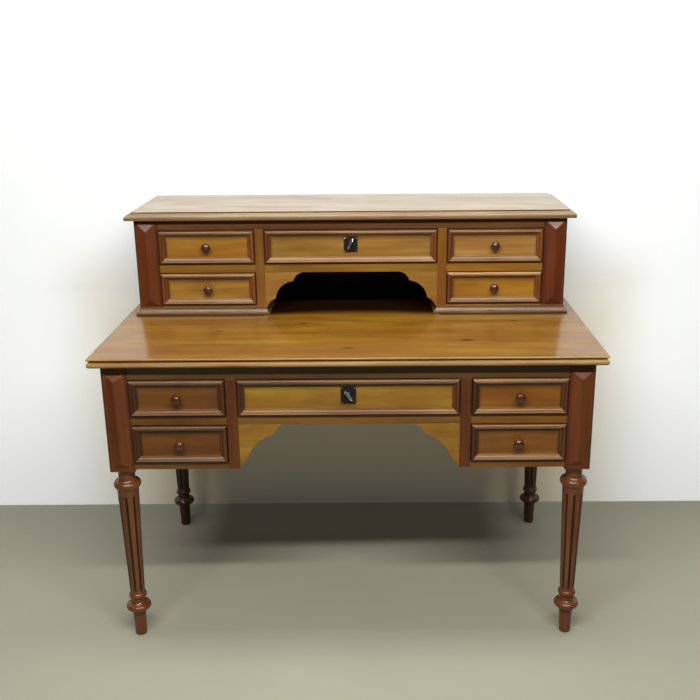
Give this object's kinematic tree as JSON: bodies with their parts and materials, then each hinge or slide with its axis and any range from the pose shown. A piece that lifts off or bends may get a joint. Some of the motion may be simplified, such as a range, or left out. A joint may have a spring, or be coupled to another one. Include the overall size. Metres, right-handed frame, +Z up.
{
  "type": "writing desk with drawers and a low upper cabinet",
  "caption": "Wooden writing desk on turned fluted legs, with moulded drawers round a kneehole and a low drawer cabinet with an arched niche at the back of its top.",
  "frame": {"origin": "floor under the middle of the desk's width and depth", "axes": "+X along the desk's width, -Y towards the person seated at it, +Z up"},
  "size_m": [1.2, 0.7, 1.032],
  "materials": {
    "honey_wood": "satin varnish",
    "red_brown_wood": "satin varnish",
    "dark_wood": "gloss varnish",
    "lining_wood": "bare",
    "plain_wood": "bare",
    "dark_iron": "dark patina",
    "bolt_steel": "worn"
  },
  "bodies": {
    "carcass": {"main_top": "honey_wood", "leg_front_left": "red_brown_wood", "leg_front_right": "red_brown_wood", "leg_rear_left": "red_brown_wood", "leg_rear_right": "red_brown_wood", "base_top_rail": "honey_wood", "base_divider_left": "red_brown_wood", "base_divider_right": "red_brown_wood", "base_shelves_left": "honey_wood", "base_shelves_right": "honey_wood", "base_shelf_centre": "honey_wood", "base_brackets": "honey_wood", "base_sides": "red_brown_wood", "base_back": "plain_wood", "hutch_top": "honey_wood", "hutch_top_rail": "honey_wood", "hutch_divider_left": "red_brown_wood", "hutch_divider_right": "red_brown_wood", "hutch_shelves_left": "honey_wood", "hutch_shelves_right": "honey_wood", "hutch_shelf_centre": "honey_wood", "hutch_brackets": "honey_wood", "hutch_side_left": "red_brown_wood", "hutch_side_right": "red_brown_wood", "hutch_back": "plain_wood", "hutch_plinth": "honey_wood"},
    "base_left_upper_drawer": {"base_left_upper_front": "honey_wood", "base_left_upper_box": "lining_wood", "base_left_upper_knob": "dark_wood"},
    "base_left_lower_drawer": {"base_left_lower_front": "honey_wood", "base_left_lower_box": "lining_wood", "base_left_lower_knob": "dark_wood"},
    "base_right_upper_drawer": {"base_right_upper_front": "honey_wood", "base_right_upper_box": "lining_wood", "base_right_upper_knob": "dark_wood"},
    "base_right_lower_drawer": {"base_right_lower_front": "honey_wood", "base_right_lower_box": "lining_wood", "base_right_lower_knob": "dark_wood"},
    "base_centre_drawer": {"base_centre_front": "honey_wood", "base_centre_box": "lining_wood", "base_centre_lock": "dark_iron"},
    "base_lock_bolt": {"base_centre_bolt": "bolt_steel"},
    "base_key": {"base_centre_key": "bolt_steel"},
    "hutch_left_upper_drawer": {"hutch_left_upper_front": "honey_wood", "hutch_left_upper_box": "lining_wood", "hutch_left_upper_knob": "dark_wood"},
    "hutch_left_lower_drawer": {"hutch_left_lower_front": "honey_wood", "hutch_left_lower_box": "lining_wood", "hutch_left_lower_knob": "dark_wood"},
    "hutch_right_upper_drawer": {"hutch_right_upper_front": "honey_wood", "hutch_right_upper_box": "lining_wood", "hutch_right_upper_knob": "dark_wood"},
    "hutch_right_lower_drawer": {"hutch_right_lower_front": "honey_wood", "hutch_right_lower_box": "lining_wood", "hutch_right_lower_knob": "dark_wood"},
    "hutch_centre_drawer": {"hutch_centre_front": "honey_wood", "hutch_centre_box": "lining_wood", "hutch_centre_lock": "dark_iron"},
    "hutch_lock_bolt": {"hutch_centre_bolt": "bolt_steel"},
    "hutch_key": {"hutch_centre_key": "bolt_steel"}
  },
  "joints": [
    {"name": "base_left_upper_slide", "type": "slide", "parent": "carcass", "child": "base_left_upper_drawer", "axis": [0, -1, 0], "range_m": [0, 0.42]},
    {"name": "base_left_lower_slide", "type": "slide", "parent": "carcass", "child": "base_left_lower_drawer", "axis": [0, -1, 0], "range_m": [0, 0.42]},
    {"name": "base_right_upper_slide", "type": "slide", "parent": "carcass", "child": "base_right_upper_drawer", "axis": [0, -1, 0], "range_m": [0, 0.42]},
    {"name": "base_right_lower_slide", "type": "slide", "parent": "carcass", "child": "base_right_lower_drawer", "axis": [0, -1, 0], "range_m": [0, 0.42]},
    {"name": "base_centre_slide", "type": "slide", "parent": "carcass", "child": "base_centre_drawer", "axis": [0, -1, 0], "range_m": [0, 0.42]},
    {"name": "base_bolt_slide", "type": "slide", "parent": "base_centre_drawer", "child": "base_lock_bolt", "axis": [0, 0, 1], "range_m": [0, 0.008]},
    {"name": "base_key_turn", "type": "hinge", "parent": "base_centre_drawer", "child": "base_key", "pos_m": [0, -0.325, 0.6625], "axis": [0, -1, 0], "range_deg": [0, 90]},
    {"name": "hutch_left_upper_slide", "type": "slide", "parent": "carcass", "child": "hutch_left_upper_drawer", "axis": [0, -1, 0], "range_m": [0, 0.17]},
    {"name": "hutch_left_lower_slide", "type": "slide", "parent": "carcass", "child": "hutch_left_lower_drawer", "axis": [0, -1, 0], "range_m": [0, 0.17]},
    {"name": "hutch_right_upper_slide", "type": "slide", "parent": "carcass", "child": "hutch_right_upper_drawer", "axis": [0, -1, 0], "range_m": [0, 0.17]},
    {"name": "hutch_right_lower_slide", "type": "slide", "parent": "carcass", "child": "hutch_right_lower_drawer", "axis": [0, -1, 0], "range_m": [0, 0.17]},
    {"name": "hutch_centre_slide", "type": "slide", "parent": "carcass", "child": "hutch_centre_drawer", "axis": [0, -1, 0], "range_m": [0, 0.17]},
    {"name": "hutch_bolt_slide", "type": "slide", "parent": "hutch_centre_drawer", "child": "hutch_lock_bolt", "axis": [0, 0, 1], "range_m": [0, 0.008]},
    {"name": "hutch_key_turn", "type": "hinge", "parent": "hutch_centre_drawer", "child": "hutch_key", "pos_m": [0, 0.042, 0.9485], "axis": [0, 1, 0], "range_deg": [0, 90]}
  ],
  "couplings": [
    {"joint": "base_bolt_slide", "follows": "base_key_turn", "m_per_rad": 0.00509},
    {"joint": "hutch_bolt_slide", "follows": "hutch_key_turn", "m_per_rad": 0.00509}
  ]
}
